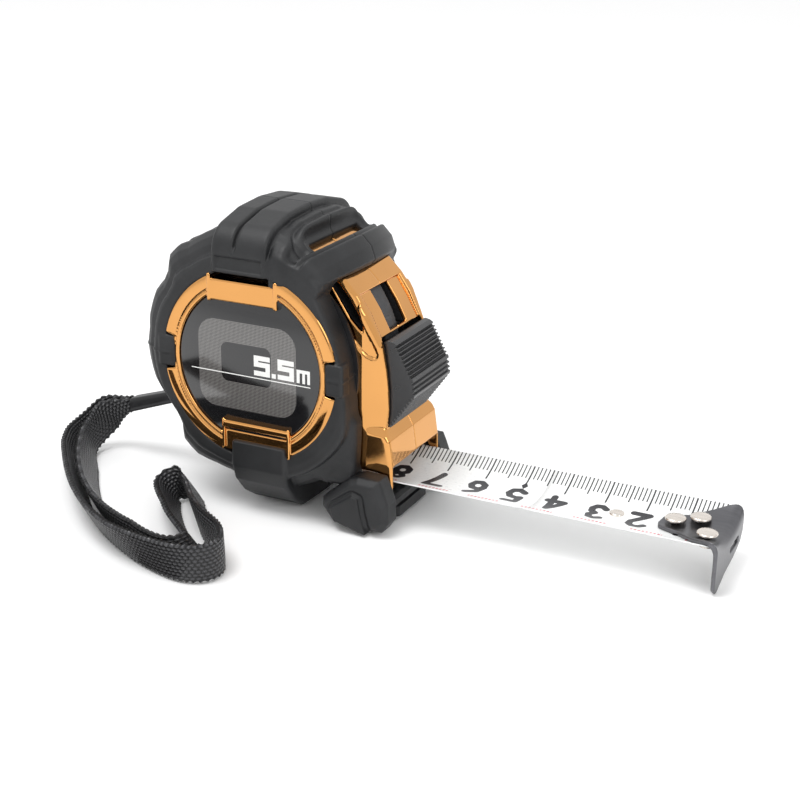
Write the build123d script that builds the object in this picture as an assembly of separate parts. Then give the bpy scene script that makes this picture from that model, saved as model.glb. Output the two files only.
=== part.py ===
from build123d import *
import math
import os

# A pocket tape measure with a locking 25 mm blade, millimetres.
# +X is the way the blade is pulled out, +Z is up, and z = 0 is the surface it stands on.
# The drum turns on the Y axis through (0, 0, DRUM_Z). "right" pieces are on the -Y side.

# ---- driving dimensions ------------------------------------------------------------------
DRUM_Z = 37.3            # height of the drum axis
SHELL_R = 29.8           # plated case, round part
SHELL_HALF = 19.0        # plated case, half thickness at its flat sides
RING_R = 23.4            # raised ring round the label
RING_HALF = 20.4
LABEL_R = 19.0
LABEL_HALF = 19.7
NOSE_HALF = 13.0         # half width of the nose that holds the lock and the mouth
BUMPER_R = 32.6          # outside of the rubber
BUMPER_HALF = 20.7

BLADE_WIDTH = 25.0       # flat width of the strip
BLADE_THICK = 0.2
BLADE_CURVE_R = 23.0     # radius of the strip's hollow section
BLADE_Z = 8.4            # middle of the strip, its lowest line
BLADE_END_X = 109.8      # zero of the scale: inner face of the hook
BLADE_TAIL_X = -8.0      # where the straight strip meets the drum, inside the case
BLADE_SPLIT_X = 65.0     # ahead of this the strip fits in the case when wound in
COIL_R = 24.5
COIL_CORE_R = 18.4
COIL_TURNS = 12

CAVITY_R = 27.6          # drum room
CAVITY_HALF = 13.9
FLANGE_R = 25.2
POST_R = 3.5
RUNNING_GAP = 0.06

CHANNEL_HALF = 12.3      # room for the hook and strip in the mouth
CHANNEL_FLOOR = 6.8
CHANNEL_TOP = 15.4
MOUTH_X = 33.2
SCREW_ANGLES = (62, 150, 236)
SCREW_R = 0.95
SCREW_HEAD_R = 2.0
SCREW_SEAT = 14.9
BUTTON_HALF = 10.0
BUTTON_GAP = 0.35
SLOT_HALF = 4.05

HOOK_THICK = 1.0
HOOK_HALF = 11.4
TONGUE_TIP_X = 94.2
TONGUE_TOP_R = BLADE_CURVE_R - 1.05
TONGUE_TOP_CENTRE = BLADE_Z + BLADE_CURVE_R
RIVETS = [(97.6, 1.6), (102.7, 4.1), (106.2, -3.2)]
RIVET_R = 2.45
SHANK_R = 1.0
RIVET_FOOT_Z = 7.3
EYELET = (BLADE_END_X - 26.2, 1.5)
EYELET_R = 1.75
HOOK_PLAY = 1.0
TOE_IN = NOSE_HALF
TOE_OUT = 18.8

STRAP_WIDTH = 9.0
STRAP_THICK = 1.5
NECK_END_X = -48.1
NECK_HALF = 1.7
PIN_R = 0.9

os.makedirs("parts", exist_ok=True)
parts = {}


# ---- helpers -----------------------------------------------------------------------------
def slab(points, y_low, y_high):
    """An outline in X and Z, as thick as y_low to y_high."""
    face = make_face(Plane.XZ.offset(-y_high) * Polyline(*points, close=True))
    return extrude(face, amount=y_high - y_low, dir=(0, -1, 0))


def plank(points, x_low, x_high):
    """An outline in Y and Z, as thick as x_low to x_high."""
    face = make_face(Plane.YZ.offset(x_low) * Polyline(*points, close=True))
    return extrude(face, amount=x_high - x_low, dir=(1, 0, 0))


def block(x_low, x_high, y_low, y_high, z_low, z_high):
    size = (x_high - x_low, y_high - y_low, z_high - z_low)
    middle = ((x_low + x_high) / 2, (y_low + y_high) / 2, (z_low + z_high) / 2)
    return Pos(*middle) * Box(*size)


def disc(radius, y_low, y_high):
    """A disc round the drum axis."""
    return Pos(0, (y_low + y_high) / 2, DRUM_Z) * Rot(90, 0, 0) * Cylinder(radius, y_high - y_low)


def turned(profile):
    """Revolve an outline of (radius, y) points about the drum axis."""
    face = make_face(Pos(0, 0, DRUM_Z) * Polyline(*profile, close=True))
    return revolve(face, Axis((0, 0, DRUM_Z), (0, 1, 0)))


def polar(radius, degrees):
    """X and Z of a point round the drum axis; 0 degrees is forwards and 90 is up."""
    angle = math.radians(degrees)
    return (radius * math.cos(angle), DRUM_Z + radius * math.sin(angle))


def sector(r_low, r_high, a_low, a_high, y_low, y_high, steps=8):
    """A curved plate round the drum axis."""
    angles = [a_low + (a_high - a_low) * i / steps for i in range(steps + 1)]
    outline = [polar(r_high, a) for a in angles] + [polar(r_low, a) for a in reversed(angles)]
    return slab(outline, y_low, y_high)


def spiral(r_in, r_out, turns, thick, y_half):
    """A flat strip wound round the drum axis, drawn as half circles of growing radius."""
    steps = 2 * turns
    pitch = (r_out - r_in - thick) / steps

    def rail(offset):
        edges, radius, centre, side = [], r_in + offset, 0.0, 1
        start = centre + side * radius
        for _ in range(steps):
            nxt = radius + pitch / 2
            end = start - side * 2 * nxt
            top = (start + end) / 2
            edges.append(ThreePointArc((start, 0), (top, side * nxt), (end, 0)))
            start, side, radius = end, -side, nxt + pitch / 2
        return edges

    inner, outer = rail(0), rail(thick)
    caps = [Line(inner[0] @ 0, outer[0] @ 0), Line(inner[-1] @ 1, outer[-1] @ 1)]
    face = make_face(Plane((0, y_half, DRUM_Z), x_dir=(1, 0, 0), z_dir=(0, -1, 0)) * Wire(inner + outer + caps))
    return extrude(face, amount=2 * y_half, dir=(0, -1, 0))


def neck_window():
    """Opening in the back of the case for the strap's neck."""
    return block(-40, -18.6, -NECK_HALF - 0.3, 1, 14.2, 21.6)


def keep(name, shape):
    """Store one piece under its node name."""
    parts[name] = shape


def keep_pair(name, right):
    """Store a right-hand piece and its mirror image."""
    keep(name + "_right", right)
    keep(name + "_left", mirror(right, Plane.XZ))


# ---- case --------------------------------------------------------------------------------
def nose_outline():
    """Side view of the nose, from the mouth's sill up the front to the rubber brow."""
    return [(-12, 5.2), (30, 5.2), (33.0, 8.2), (MOUTH_X, CHANNEL_TOP), (32.4, 21.4), (32.3, 25.4),
            (31.3, 37.7), (30.2, 45.9), (29.0, 46.2), (23.5, 55.3), (20.4, 59.0), (8, 60), (-12, 30)]


def shell_blank():
    """The right half of the plated case before it is hollowed."""
    round_part = turned([(0, 0), (SHELL_R, 0), (SHELL_R, -14.5), (25.6, -SHELL_HALF), (RING_R, -SHELL_HALF),
                         (RING_R, -RING_HALF), (19.4, -RING_HALF), (19.4, -18.5), (0, -18.5)])
    return round_part + slab(nose_outline(), -NOSE_HALF, 0)


def ring_notches():
    """Gaps in the ring where rubber tabs and lugs come through."""
    top = block(-9.3, 5.2, -22, -19.2, 58.0, 63)
    bottom = block(-5.2, 9.0, -22, -19.2, 12, 17.9)
    front = block(19.9, 26, -22, -19.2, 34.0, 41.2)
    rear = block(-26, -20.6, -22, -19.2, 34.2, 42.0)
    return top + bottom + front + rear


def shell_right():
    half = shell_blank()
    half -= disc(CAVITY_R, -CAVITY_HALF, 1) + disc(22.0, -16.6, 1)
    half -= block(-11, 40, -CHANNEL_HALF, 1, CHANNEL_FLOOR, CHANNEL_TOP)
    half -= block(21.8, 40, -CHANNEL_HALF, 1, 0, CHANNEL_FLOOR)
    half -= block(12, 27, -BUTTON_HALF - BUTTON_GAP, 1, 10, 45.8)
    half -= block(24, 40, -BUTTON_HALF - BUTTON_GAP, 1, 24.3, 45.8)
    half -= block(30.9, 34, -BUTTON_HALF - BUTTON_GAP, 1, 22.6, 24.4)
    half -= sector(27.0, 31.5, 12, 37.5, -SLOT_HALF, 1)
    half -= sector(27.0, 29.0, 30, 54, -SLOT_HALF - 0.3, 1)
    half -= sector(30.35, 34, 4, 60, -BUTTON_HALF - BUTTON_GAP, 1)
    half -= neck_window() + strap_pin()
    half -= ring_notches()
    return half - mirror(Compound([screw(angle, SCREW_R) for angle in SCREW_ANGLES]), Plane.XZ)


def shell_left():
    """The other half is a mirror image, with seats for the screw heads in place of pilot holes."""
    half = mirror(shell_right(), Plane.XZ)
    return half - Compound([screw(angle, SCREW_HEAD_R) for angle in SCREW_ANGLES])


def bumper_right():
    """Rubber round the case: rim, crown lug, keel lug, side tabs and the ground pad."""
    rim = turned([(25, 0), (BUMPER_R, 0), (BUMPER_R - 0.4, -12), (30.6, -17), (27.4, -20), (24.6, -BUMPER_HALF),
                  (RING_R + 0.15, -BUMPER_HALF + 0.4), (RING_R + 0.15, -SHELL_HALF), (22, -16), (22, 0)])
    crown = plank([(0, 60), (0, 73.0), (-8, 72.6), (-14.5, 70.4), (-19.4, 66.0), (-21.6, 60.8), (-21.6, 59.0),
                   (-19.25, 59.0), (-19.25, 62), (-12, 62)], -9.2, 5.1)
    keel = plank([(0, 14), (-12, 14), (-19.25, 17.7), (-21.3, 17.7), (-21.6, 12), (-20.4, 8.2), (-16.5, 4.0),
                  (-12, 1.0), (0, 1.0)], -5.1, 8.9)
    ridges = sector(31, 33.6, 48, 62, -15.5, 0) + sector(31, 34.2, 70, 82, -14.5, 0)
    tabs = block(20.0, 24.4, -20.9, -18, 34.2, 41.0) + block(-24.4, -20.7, -20.9, -18, 34.4, 41.8)
    ground = slab([(-15, 6.5), (-13, 0), (14, 0), (17.5, 6.5), (10, 14), (-10, 14)], -12, 0)
    half = rim + crown + keel + ridges + tabs + ground
    half -= slab([(12, 0), (17.5, 6.5), (16, 40), (14, 56), (20.2, 59.4), (50, 62), (50, 0)], -NOSE_HALF, 1)
    half -= block(10.6, 14.4, -12.0, 1, 58, 72)
    half -= slab(TOE_TOP + [(50, 16.5), (50, -1), (18, -1)], -30, 1)
    half -= shell_blank()
    return half - neck_window()


TOE_TOP = [(18, 6.2), (26, 13.5), (27.2, 14.7), (34, 16.1)]


def toe_right():
    """Hard front foot beside the mouth, with a raised panel on its outer face."""
    outline = TOE_TOP + [(35.2, 13.6), (36.8, 8.9), (36.9, 2.5), (35.2, 0), (21.4, 0), (18, 4.0)]
    foot = slab(outline, -TOE_OUT, -TOE_IN)
    foot = chamfer(foot.faces().sort_by(Axis.Y)[0].edges(), 1.1)
    panel = slab([(20.6, 5.4), (27.0, 11.2), (29.2, 11.4), (31.6, 1.8), (22.2, 1.8)], -TOE_OUT - 0.6, -TOE_OUT)
    return foot + panel


def label_right():
    """Printed disc in the ring."""
    return disc(LABEL_R, -LABEL_HALF, -18.5)


def mouth_guide():
    """Slick sill under the blade, between the toes."""
    sill = block(22, 33.1, -CHANNEL_HALF, CHANNEL_HALF, 3.6, 6.7)
    return chamfer(sill.edges().filter_by(Axis.Y).sort_by(Axis.X)[-2:], 0.8)


def hook_bumper():
    """Rubber stop under the sill that the hook closes on."""
    return fillet(block(27.5, 33.15, -8, 8, 0.9, 3.5).edges().filter_by(Axis.Z), 1.0)


def bumper_left():
    """Mirror image of the right rubber, with a well over each screw."""
    wells = Compound([screw(angle, SCREW_HEAD_R + 0.2, 24) for angle in SCREW_ANGLES])
    return mirror(bumper_right(), Plane.XZ) - wells


def screw(angle, head_r, head_end=16.4):
    """One self-tapping screw through both halves, in the wall round the drum room."""
    x, z = polar(28.7, angle)
    shank = Pos(x, 1.5, z) * Rot(90, 0, 0) * Cylinder(SCREW_R, 27)
    head = Pos(x, (SCREW_SEAT + head_end) / 2, z) * Rot(90, 0, 0) * Cylinder(head_r, head_end - SCREW_SEAT)
    return shank + head


def case_screws():
    """Three screws, put in from the left."""
    return Compound([screw(angle, SCREW_HEAD_R) for angle in SCREW_ANGLES])


# ---- drum and springs --------------------------------------------------------------------
def centre_post():
    """Fixed post that the drum turns on; its flats hold the spring's inner end."""
    return disc(POST_R, -16.6, 16.6)


def drum():
    """Spool with its right flange."""
    spool = disc(COIL_CORE_R - 0.2, -12.9, 12.9) - disc(13.6, -13, 13)
    flange = disc(FLANGE_R, -13.7, -12.9) - disc(POST_R + RUNNING_GAP, -14, -12)
    return spool + flange


def drum_flange():
    """Left flange, pressed on the spool."""
    return disc(FLANGE_R, 12.9, 13.7) - disc(POST_R + RUNNING_GAP, 12, 14)


def power_spring():
    return spiral(POST_R + 0.1, 13.0, 10, 0.35, 9.0)


def blade_coil():
    return spiral(COIL_CORE_R, COIL_R, COIL_TURNS, 0.3, BLADE_WIDTH / 2)


# ---- lock --------------------------------------------------------------------------------
def lock_button():
    """Thumb button: a wedge of fine ribs that slides round the case."""
    back = [polar(30.5, a) for a in (-24, -18, -12, -6, 0, 7, 13.4)]
    top, peak_high, peak_low, foot = (32.2, 45.1), (36.9, 36.5), (37.4, 33.0), (31.4, 24.4)
    body = slab(back + [(31.0, 45.5), top, peak_high, peak_low, foot], -BUTTON_HALF, BUTTON_HALF)
    for start, end, count in ((top, peak_high, 9), (peak_low, foot, 8)):
        for i in range(count):
            t = (i + 0.5) / count
            x = start[0] + (end[0] - start[0]) * t
            z = start[1] + (end[1] - start[1]) * t
            body -= Pos(x, 0, z) * Rot(0, 45, 0) * Box(0.45, 2 * BUTTON_HALF + 1, 0.45)
    return body


def lock_slider():
    """Tongue in the slot and the plate behind the button that works the brake."""
    tongue = sector(27.7, 28.6, -20, 36.5, -3.7, 3.7, steps=14)
    stalk = sector(28.6, 30.4, -8, 6, -3.7, 3.7, steps=4)
    return tongue + stalk


def detent_spring():
    """Leaf that clicks the slider into its end places."""
    return sector(26.2, 26.5, 14, 40, 5.2, 8.2) + sector(26.2, 27.5, 38, 40, 5.2, 8.2, steps=2)


def brake_shoe():
    """Shoe that the slider presses on the blade."""
    return slab([(11, 10.2), (17, 10.2), (19.2, 13.0), (24.6, 20.6), (23.0, 21.2), (17.6, 14.6), (11, 12.8)],
                -5.5, 5.5)


def brake_pad():
    """Friction face under the shoe."""
    return block(11, 17, -2.6, 2.6, 8.85, 10.2)


# ---- blade and hook ----------------------------------------------------------------------
def hollow_strip(x_low, x_high, half_angle, z_shift, thick):
    """A length of strip with the blade's hollow section, open side up."""
    radius = BLADE_CURVE_R - z_shift
    centre = BLADE_Z + BLADE_CURVE_R
    span = math.radians(half_angle)

    def at(r, a):
        return (r * math.sin(a), centre - r * math.cos(a))

    top = ThreePointArc(at(radius, -span), at(radius, 0), at(radius, span))
    low = ThreePointArc(at(radius + thick, -span), at(radius + thick, 0), at(radius + thick, span))
    sides = [Line(at(radius, a), at(radius + thick, a)) for a in (-span, span)]
    face = make_face(Plane.YZ.offset(x_low) * Wire([top, low] + sides))
    return extrude(face, amount=x_high - x_low, dir=(1, 0, 0))


BLADE_HALF_ANGLE = math.degrees(BLADE_WIDTH / 2 / BLADE_CURVE_R)


def blade_front():
    """The end of the blade, which stays straight even when it is wound right in."""
    strip = hollow_strip(BLADE_SPLIT_X, BLADE_END_X - HOOK_PLAY, BLADE_HALF_ANGLE, 0, BLADE_THICK)
    for x, y in RIVETS:
        strip -= Pos(x, y, 9) * Cylinder(SHANK_R + 0.03, 8)
    return strip - Pos(*EYELET, 9) * Cylinder(EYELET_R, 8)


def blade_rear():
    """The rest of the straight run, from the drum to the front length; it winds on to the drum."""
    return hollow_strip(BLADE_TAIL_X, BLADE_SPLIT_X, BLADE_HALF_ANGLE, 0, BLADE_THICK)


def blade_eyelet():
    """Small ring pressed in the blade, near its end."""
    return Pos(*EYELET, BLADE_Z) * (Cylinder(EYELET_R, 0.7) - Cylinder(0.9, 1))


def end_hook():
    """Hook: a tapered tongue on the blade and a claw across its end, with a nail slot."""
    tongue = hollow_strip(TONGUE_TIP_X, BLADE_END_X + HOOK_THICK, 32, 1.05, 0.8)
    plan = Polyline((TONGUE_TIP_X, -0.6), (95.6, -2.8), (99.0, -5.0), (106.0, -HOOK_HALF + 1), (107.4, -HOOK_HALF),
                    (112, -HOOK_HALF), (112, HOOK_HALF), (107.4, HOOK_HALF), (106.0, HOOK_HALF - 1), (99.0, 6.0),
                    (95.6, 4.0), (TONGUE_TIP_X, 1.8), close=True)
    tongue &= extrude(make_face(plan), amount=30, dir=(0, 0, 1))
    claw = plank([(-HOOK_HALF, 14), (-HOOK_HALF, 1.6), (-10.4, 0.1), (-7.6, 0.1), (0.5, 3.0), (8.4, 5.6),
                  (HOOK_HALF, 7.4), (HOOK_HALF, 14)], BLADE_END_X, BLADE_END_X + HOOK_THICK)
    claw -= Pos(BLADE_END_X, 0, TONGUE_TOP_CENTRE) * Rot(0, 90, 0) * Cylinder(TONGUE_TOP_R, 10)
    slot = Pos(BLADE_END_X, 2.8, 5.6) * Rot(22, 0, 0) * Box(6, 5.2, 1.1)
    hook = tongue + claw - slot
    for x, y in RIVETS:
        hook -= Pos(x, y, 10) * Box(2 * SHANK_R + HOOK_PLAY + 0.1, 2 * SHANK_R + 0.1, 12)
    return hook


def rivet_seat(y):
    """Height of the hook's tongue under the higher edge of a rivet head at this y."""
    reach = abs(y) + RIVET_R
    return TONGUE_TOP_CENTRE - math.sqrt(TONGUE_TOP_R ** 2 - reach ** 2) + 0.05


def hook_rivets():
    """Three rivets fixed in the blade; the hook slides on their shanks by its own thickness."""
    rivets = []
    for x, y in RIVETS:
        seat = rivet_seat(y)
        head = Pos(x, y, seat + 0.35) * Cylinder(RIVET_R, 0.7)
        shank = Pos(x, y, (seat + RIVET_FOOT_Z) / 2) * Cylinder(SHANK_R, seat - RIVET_FOOT_Z + 0.2)
        rivets.append(head + shank)
    return Compound(rivets)


def rivet_plate():
    """Backing plate under the blade that the rivets are closed on."""
    plate = block(95.5, 107.5, -6.6, 6.6, 7.3, 7.9)
    plate = fillet(plate.edges().filter_by(Axis.Z), 2.0)
    for x, y in RIVETS:
        plate -= Pos(x, y, 7.6) * Cylinder(SHANK_R, 3)
    return plate


# ---- wrist strap -------------------------------------------------------------------------
STRAP_ROUTE = [
    (NECK_END_X - 0.1, 0.85, 12.8), (-54.0, 0.9, 10.8), (-59.0, -2.6, 7.4), (-60.0, -9.6, 5.0), (-55.4, -17.4, 4.7),
    (-49.0, -25.2, 4.7), (-42.0, -33.2, 4.7), (-34.0, -41.2, 4.7), (-24.6, -48.6, 4.7), (-14.4, -54.2, 4.7),
    (-4.0, -57.6, 4.7), (4.6, -58.8, 4.7), (10.4, -56.2, 4.7), (10.8, -50.0, 4.7), (6.2, -44.8, 4.7),
    (0.4, -40.8, 4.7), (-5.8, -35.4, 4.7), (-11.0, -28.6, 4.7), (-16.0, -21.8, 4.7), (-20.0, -15.4, 4.7),
    (-23.6, -13.6, 4.7), (-24.6, -17.2, 4.7), (-19.8, -24.6, 4.7), (-14.2, -33.0, 4.7), (-7.8, -40.6, 4.7),
    (-0.4, -46.4, 4.7), (4.4, -50.8, 4.7), (2.0, -54.4, 4.7), (-4.8, -54.2, 4.7), (-14.0, -51.0, 4.7),
    (-24.2, -45.4, 4.7), (-34.2, -37.2, 4.7), (-43.2, -27.4, 4.7), (-50.6, -17.4, 4.7), (-56.4, -9.2, 5.0),
    (-56.0, -3.8, 7.4), (-53.4, -1.2, 10.8), (NECK_END_X - 0.1, -0.85, 12.8),
]


STRAP_FALL = [(6, 12.6), (1.4, 11.9), (-3.6, 7.8), (-8, 5.4), (-10.5, 4.7), (-64, 4.7)]
TALL = 24.0


def bend_radii(route):
    """The radius at each corner of the route, as large as its two runs allow."""
    radii = []
    for before, corner, after in zip(route, route[1:], route[2:]):
        run_in, run_out = Vector(*corner) - Vector(*before), Vector(*after) - Vector(*corner)
        turn = math.radians(run_in.get_angle(run_out))
        radii.append(0.45 * min(run_in.length, run_out.length) / math.tan(turn / 2))
    return radii


def strap_webbing():
    """Flat webbing on edge, both layers of the loop in one length, sinking from the neck to the floor."""
    plan = [(x, y, TALL / 2) for x, y, z in STRAP_ROUTE]
    radii = bend_radii(plan)
    path = FilletPolyline(*plan, radius=radii)
    wall = sweep(Plane(path @ 0, x_dir=(0, 0, 1), z_dir=path % 0) * Rectangle(TALL, STRAP_THICK), path)
    high = [(y, z + STRAP_WIDTH / 2 - 0.5) for y, z in STRAP_FALL]
    low = [(y, z - STRAP_WIDTH / 2 + 0.5) for y, z in reversed(STRAP_FALL)]
    band = wall & plank(high + low, -80, 30)
    section = (STRAP_WIDTH - 1) * STRAP_THICK
    print("strap length", round(path.length, 1), "volume / section x length",
          round(band.volume / (section * path.length), 3), "smallest radius", round(min(radii), 1))
    return band


PIN_PLACE = polar(28.0, 221.5)


def strap_neck():
    """Moulded tongue that joins the webbing to the back of the case."""
    x, z = PIN_PLACE
    neck = slab([(x, z + 1.8), (-34, 18.9), (NECK_END_X, 14.3), (NECK_END_X, 11.4), (-34, 16.6), (x, z - 1.8)],
                -NECK_HALF, NECK_HALF)
    neck += Pos(x, 0, z) * Rot(90, 0, 0) * Cylinder(1.8, 2 * NECK_HALF)
    return neck - strap_pin()


def strap_pin():
    """Cross pin that holds the neck in the case."""
    x, z = PIN_PLACE
    return Pos(x, 0, z) * Rot(90, 0, 0) * Cylinder(PIN_R, 15)


# ---- the assembly ------------------------------------------------------------------------
keep_pair("toe", toe_right())
keep_pair("label", label_right())
for make in (shell_right, shell_left, bumper_right, bumper_left, mouth_guide, hook_bumper, case_screws, centre_post, drum, drum_flange, power_spring, blade_coil,
             lock_button, lock_slider, detent_spring, brake_shoe, brake_pad, blade_front, blade_rear, blade_eyelet, end_hook,
             hook_rivets, rivet_plate, strap_webbing, strap_neck, strap_pin):
    keep(make.__name__, make())

for name, shape in parts.items():
    export_step(shape, f"parts/{name}.step")
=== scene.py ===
"""Looks of the pocket tape measure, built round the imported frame.

The shapes are written in millimetres, in the frame's own axes, and scaled to metres when a mesh is made.
Moulded pieces are signed distance fields, turned into quads by surface_nets(); drawn pieces are lofts and prisms.
"""
import math

import bpy
import numpy as np
from mathutils import Matrix, Vector


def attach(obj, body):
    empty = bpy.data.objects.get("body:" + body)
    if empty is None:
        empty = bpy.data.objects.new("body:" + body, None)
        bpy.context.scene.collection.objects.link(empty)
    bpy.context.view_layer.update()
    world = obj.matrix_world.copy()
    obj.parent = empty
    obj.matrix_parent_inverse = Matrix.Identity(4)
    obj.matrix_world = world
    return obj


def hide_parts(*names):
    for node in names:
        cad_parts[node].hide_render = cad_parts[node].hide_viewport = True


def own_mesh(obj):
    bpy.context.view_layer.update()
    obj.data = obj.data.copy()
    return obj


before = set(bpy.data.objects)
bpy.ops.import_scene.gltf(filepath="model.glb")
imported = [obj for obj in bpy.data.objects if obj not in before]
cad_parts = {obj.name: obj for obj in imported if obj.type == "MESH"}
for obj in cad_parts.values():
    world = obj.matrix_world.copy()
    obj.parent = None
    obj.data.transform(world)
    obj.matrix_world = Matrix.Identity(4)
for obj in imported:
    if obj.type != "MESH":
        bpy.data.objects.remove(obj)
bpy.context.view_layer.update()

MM = 0.001
AXIS_Z = 37.3          # height of the drum axis
RING_R = 23.4          # plated ring round the label
LABEL_FACE = 20.3      # half thickness over the printed film
LABEL_BACK = 18.6      # where the film's disc ends inside the case
LABEL_R = 18.9         # radius of the printed film
JACKET_R = 32.0        # radius at which the rubber's section is drawn
SLOT_TURN = 65.3       # degrees round the drum axis to the slot that shows the plating
SLOT_HALF = 11.4       # half length of that slot, across the case
NOSE_HALF = 13.0
MOUTH_HALF = 12.3      # half width of the way out for the blade
WINDOW_HALF = 4.3      # half width of the window over the lock
TOE_OUT = 19.4         # half width over the two wear feet
NECK_HALF = 2.0
NECK_END = -48.2
BLADE_R = 23.0         # radius of the strip's hollow section
BLADE_THICK = 0.2
BLADE_LOW = 8.4
BLADE_ARC_Z = BLADE_LOW + BLADE_R
BLADE_HALF_ANGLE = 12.5 / BLADE_R
SCALE_ZERO = 109.8     # where the centimetres count from, along X
BLADE_SPLIT = 65.0
HOOK_X = 110.3         # middle of the hook's upright sheet
CELL = 0.36
FINE_CELL = CELL * 0.8


# ---------------------------------------------------------------- fields

def smooth_max(a, b, k):
    """Where two fields meet, the edge between them is rounded over a width k."""
    h = np.maximum(k - np.abs(a - b), 0.0) / k
    return np.maximum(a, b) + h * h * k * 0.25


def smooth_min(a, b, k):
    return -smooth_max(-a, -b, k)


def bump(t):
    """1 at t = 0, fading to nothing on both sides."""
    return np.exp(-t * t)


def polar(x, z):
    """Radius from the drum axis, and degrees round it from straight ahead."""
    return np.hypot(x, z - AXIS_Z), np.degrees(np.arctan2(z - AXIS_Z, x))


def fade(t, low, high):
    """0 before low, 1 after high, smooth between."""
    s = np.clip((t - low) / (high - low), 0.0, 1.0)
    return s * s * (3 - 2 * s)


def corner(a, b):
    """Distance past two walls at right angles."""
    return np.hypot(np.maximum(a, 0), np.maximum(b, 0)) + np.minimum(np.maximum(a, b), 0)


def outline(u, v, points):
    """Signed distance to a closed outline, negative inside."""
    best, inside = None, None
    for (ax, ay), (bx, by) in zip(points, points[1:] + points[:1]):
        ex, ey = bx - ax, by - ay
        t = np.clip(((u - ax) * ex + (v - ay) * ey) / (ex * ex + ey * ey), 0, 1)
        d = (u - ax - t * ex) ** 2 + (v - ay - t * ey) ** 2
        crosses = ((ay > v) != (by > v)) & (u < ex * (v - ay) / (ey if ey else 1e-9) + ax)
        best = d if best is None else np.minimum(best, d)
        inside = crosses if inside is None else inside ^ crosses
    return np.where(inside, -1, 1) * np.sqrt(best)


def block(x, y, z, low, high, radius=0.0):
    """Signed distance to a box with rounded edges."""
    parts = [np.abs(c - (a + b) / 2) - (b - a) / 2 + radius for c, a, b in zip((x, y, z), low, high)]
    out = np.sqrt(sum(np.maximum(p, 0) ** 2 for p in parts))
    return out + np.minimum(np.maximum(np.maximum(*parts[:2]), parts[2]), 0) - radius


def surface_nets(field, low, high, cell):
    """Points and quads of the surface where field is zero, one point in each cell that it crosses."""
    axes = [np.arange(a, b + cell, cell) for a, b in zip(low, high)]
    grids = np.meshgrid(*axes, indexing="ij", sparse=True)
    value = np.broadcast_to(field(*grids), [len(a) for a in axes]).astype(np.float32)
    shape = np.array(value.shape) - 1
    total, count = np.zeros((*shape, 3)), np.zeros(shape)
    edges = []
    for axis in range(3):
        first = value[tuple(slice(0, -1) if i == axis else slice(None) for i in range(3))]
        second = value[tuple(slice(1, None) if i == axis else slice(None) for i in range(3))]
        cross = (first < 0) != (second < 0)
        place = np.argwhere(cross)
        t = first[cross] / (first[cross] - second[cross])
        point = place.astype(float)
        point[:, axis] += t
        others = [i for i in range(3) if i != axis]
        for da in (0, 1):
            for db in (0, 1):
                spot = place.copy()
                spot[:, others[0]] -= da
                spot[:, others[1]] -= db
                good = np.all((spot >= 0) & (spot < shape), axis=1)
                np.add.at(total, tuple(spot[good].T), point[good])
                np.add.at(count, tuple(spot[good].T), 1)
        edges.append((place, others, (first < 0)[cross], axis))
    used = count > 0
    index = np.full(shape, -1)
    index[used] = np.arange(used.sum())
    points = total[used] / count[used][:, None] * cell + np.array(low)
    quads = []
    for place, others, inside, axis in edges:
        good = np.all(place[:, others] > 0, axis=1) & np.all(place[:, others] < shape[others], axis=1)
        place, inside = place[good], inside[good]
        ring = []
        for da, db in ((0, 0), (1, 0), (1, 1), (0, 1)):
            spot = place.copy()
            spot[:, others[0]] -= da
            spot[:, others[1]] -= db
            ring.append(index[tuple(spot.T)])
        quad = np.stack(ring, 1)
        flip = inside if axis == 1 else ~inside
        quad[flip] = quad[flip][:, ::-1]
        quads.append(quad)
    return settle(field, points), np.concatenate(quads)


def settle(field, points, steps=3):
    """Moves each point on to the surface itself, down the field's slope."""
    e = 0.02
    for _ in range(steps):
        x, y, z = points.T
        here = field(x, y, z)
        slope = np.stack([field(x + e, y, z) - field(x - e, y, z), field(x, y + e, z) - field(x, y - e, z),
                          field(x, y, z + e) - field(x, y, z - e)], 1) / (2 * e)
        length = np.maximum((slope ** 2).sum(1), 0.3)
        points = points - slope * np.clip(here / length, -0.2, 0.2)[:, None]
    return points


# ---------------------------------------------------------------- meshes

def make_object(name, points, faces, material, body, replaces=(), smooth=True):
    mesh = bpy.data.meshes.new(name)
    mesh.from_pydata(np.asarray(points, float) * MM, [], [tuple(int(i) for i in f) for f in faces])
    mesh.update()
    obj = bpy.data.objects.new(name, mesh)
    bpy.context.scene.collection.objects.link(obj)
    mesh.materials.append(material)
    mesh.polygons.foreach_set("use_smooth", [smooth] * len(mesh.polygons))
    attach(obj, body)
    if replaces:
        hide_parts(*replaces)
    return obj


def moulded(name, field, low, high, material, body, replaces=(), cell=None):
    points, quads = surface_nets(field, low, high, cell or CELL)
    return make_object(name, points, quads, material, body, replaces)


def both_sides(name, field, low, high, material, body, replaces, cell=None):
    """A piece of the right half, and its mirror image on the left."""
    points, quads = surface_nets(field, low, high, cell or CELL)
    right = make_object(name + "_right_look", points, quads, material, body, [replaces + "_right"])
    left = make_object(name + "_left_look", points * (1, -1, 1), quads[:, ::-1], material, body,
                       [replaces + "_left"])
    return right, left


def prism(profile, low, high):
    """Points and faces of an (x, z) outline pushed along Y."""
    n = len(profile)
    points = [(x, low, z) for x, z in profile] + [(x, high, z) for x, z in profile]
    faces = [tuple(range(n)), tuple(range(2 * n - 1, n - 1, -1))]
    faces += [(i, i + n, (i + 1) % n + n, (i + 1) % n) for i in range(n)]
    return points, faces


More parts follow.
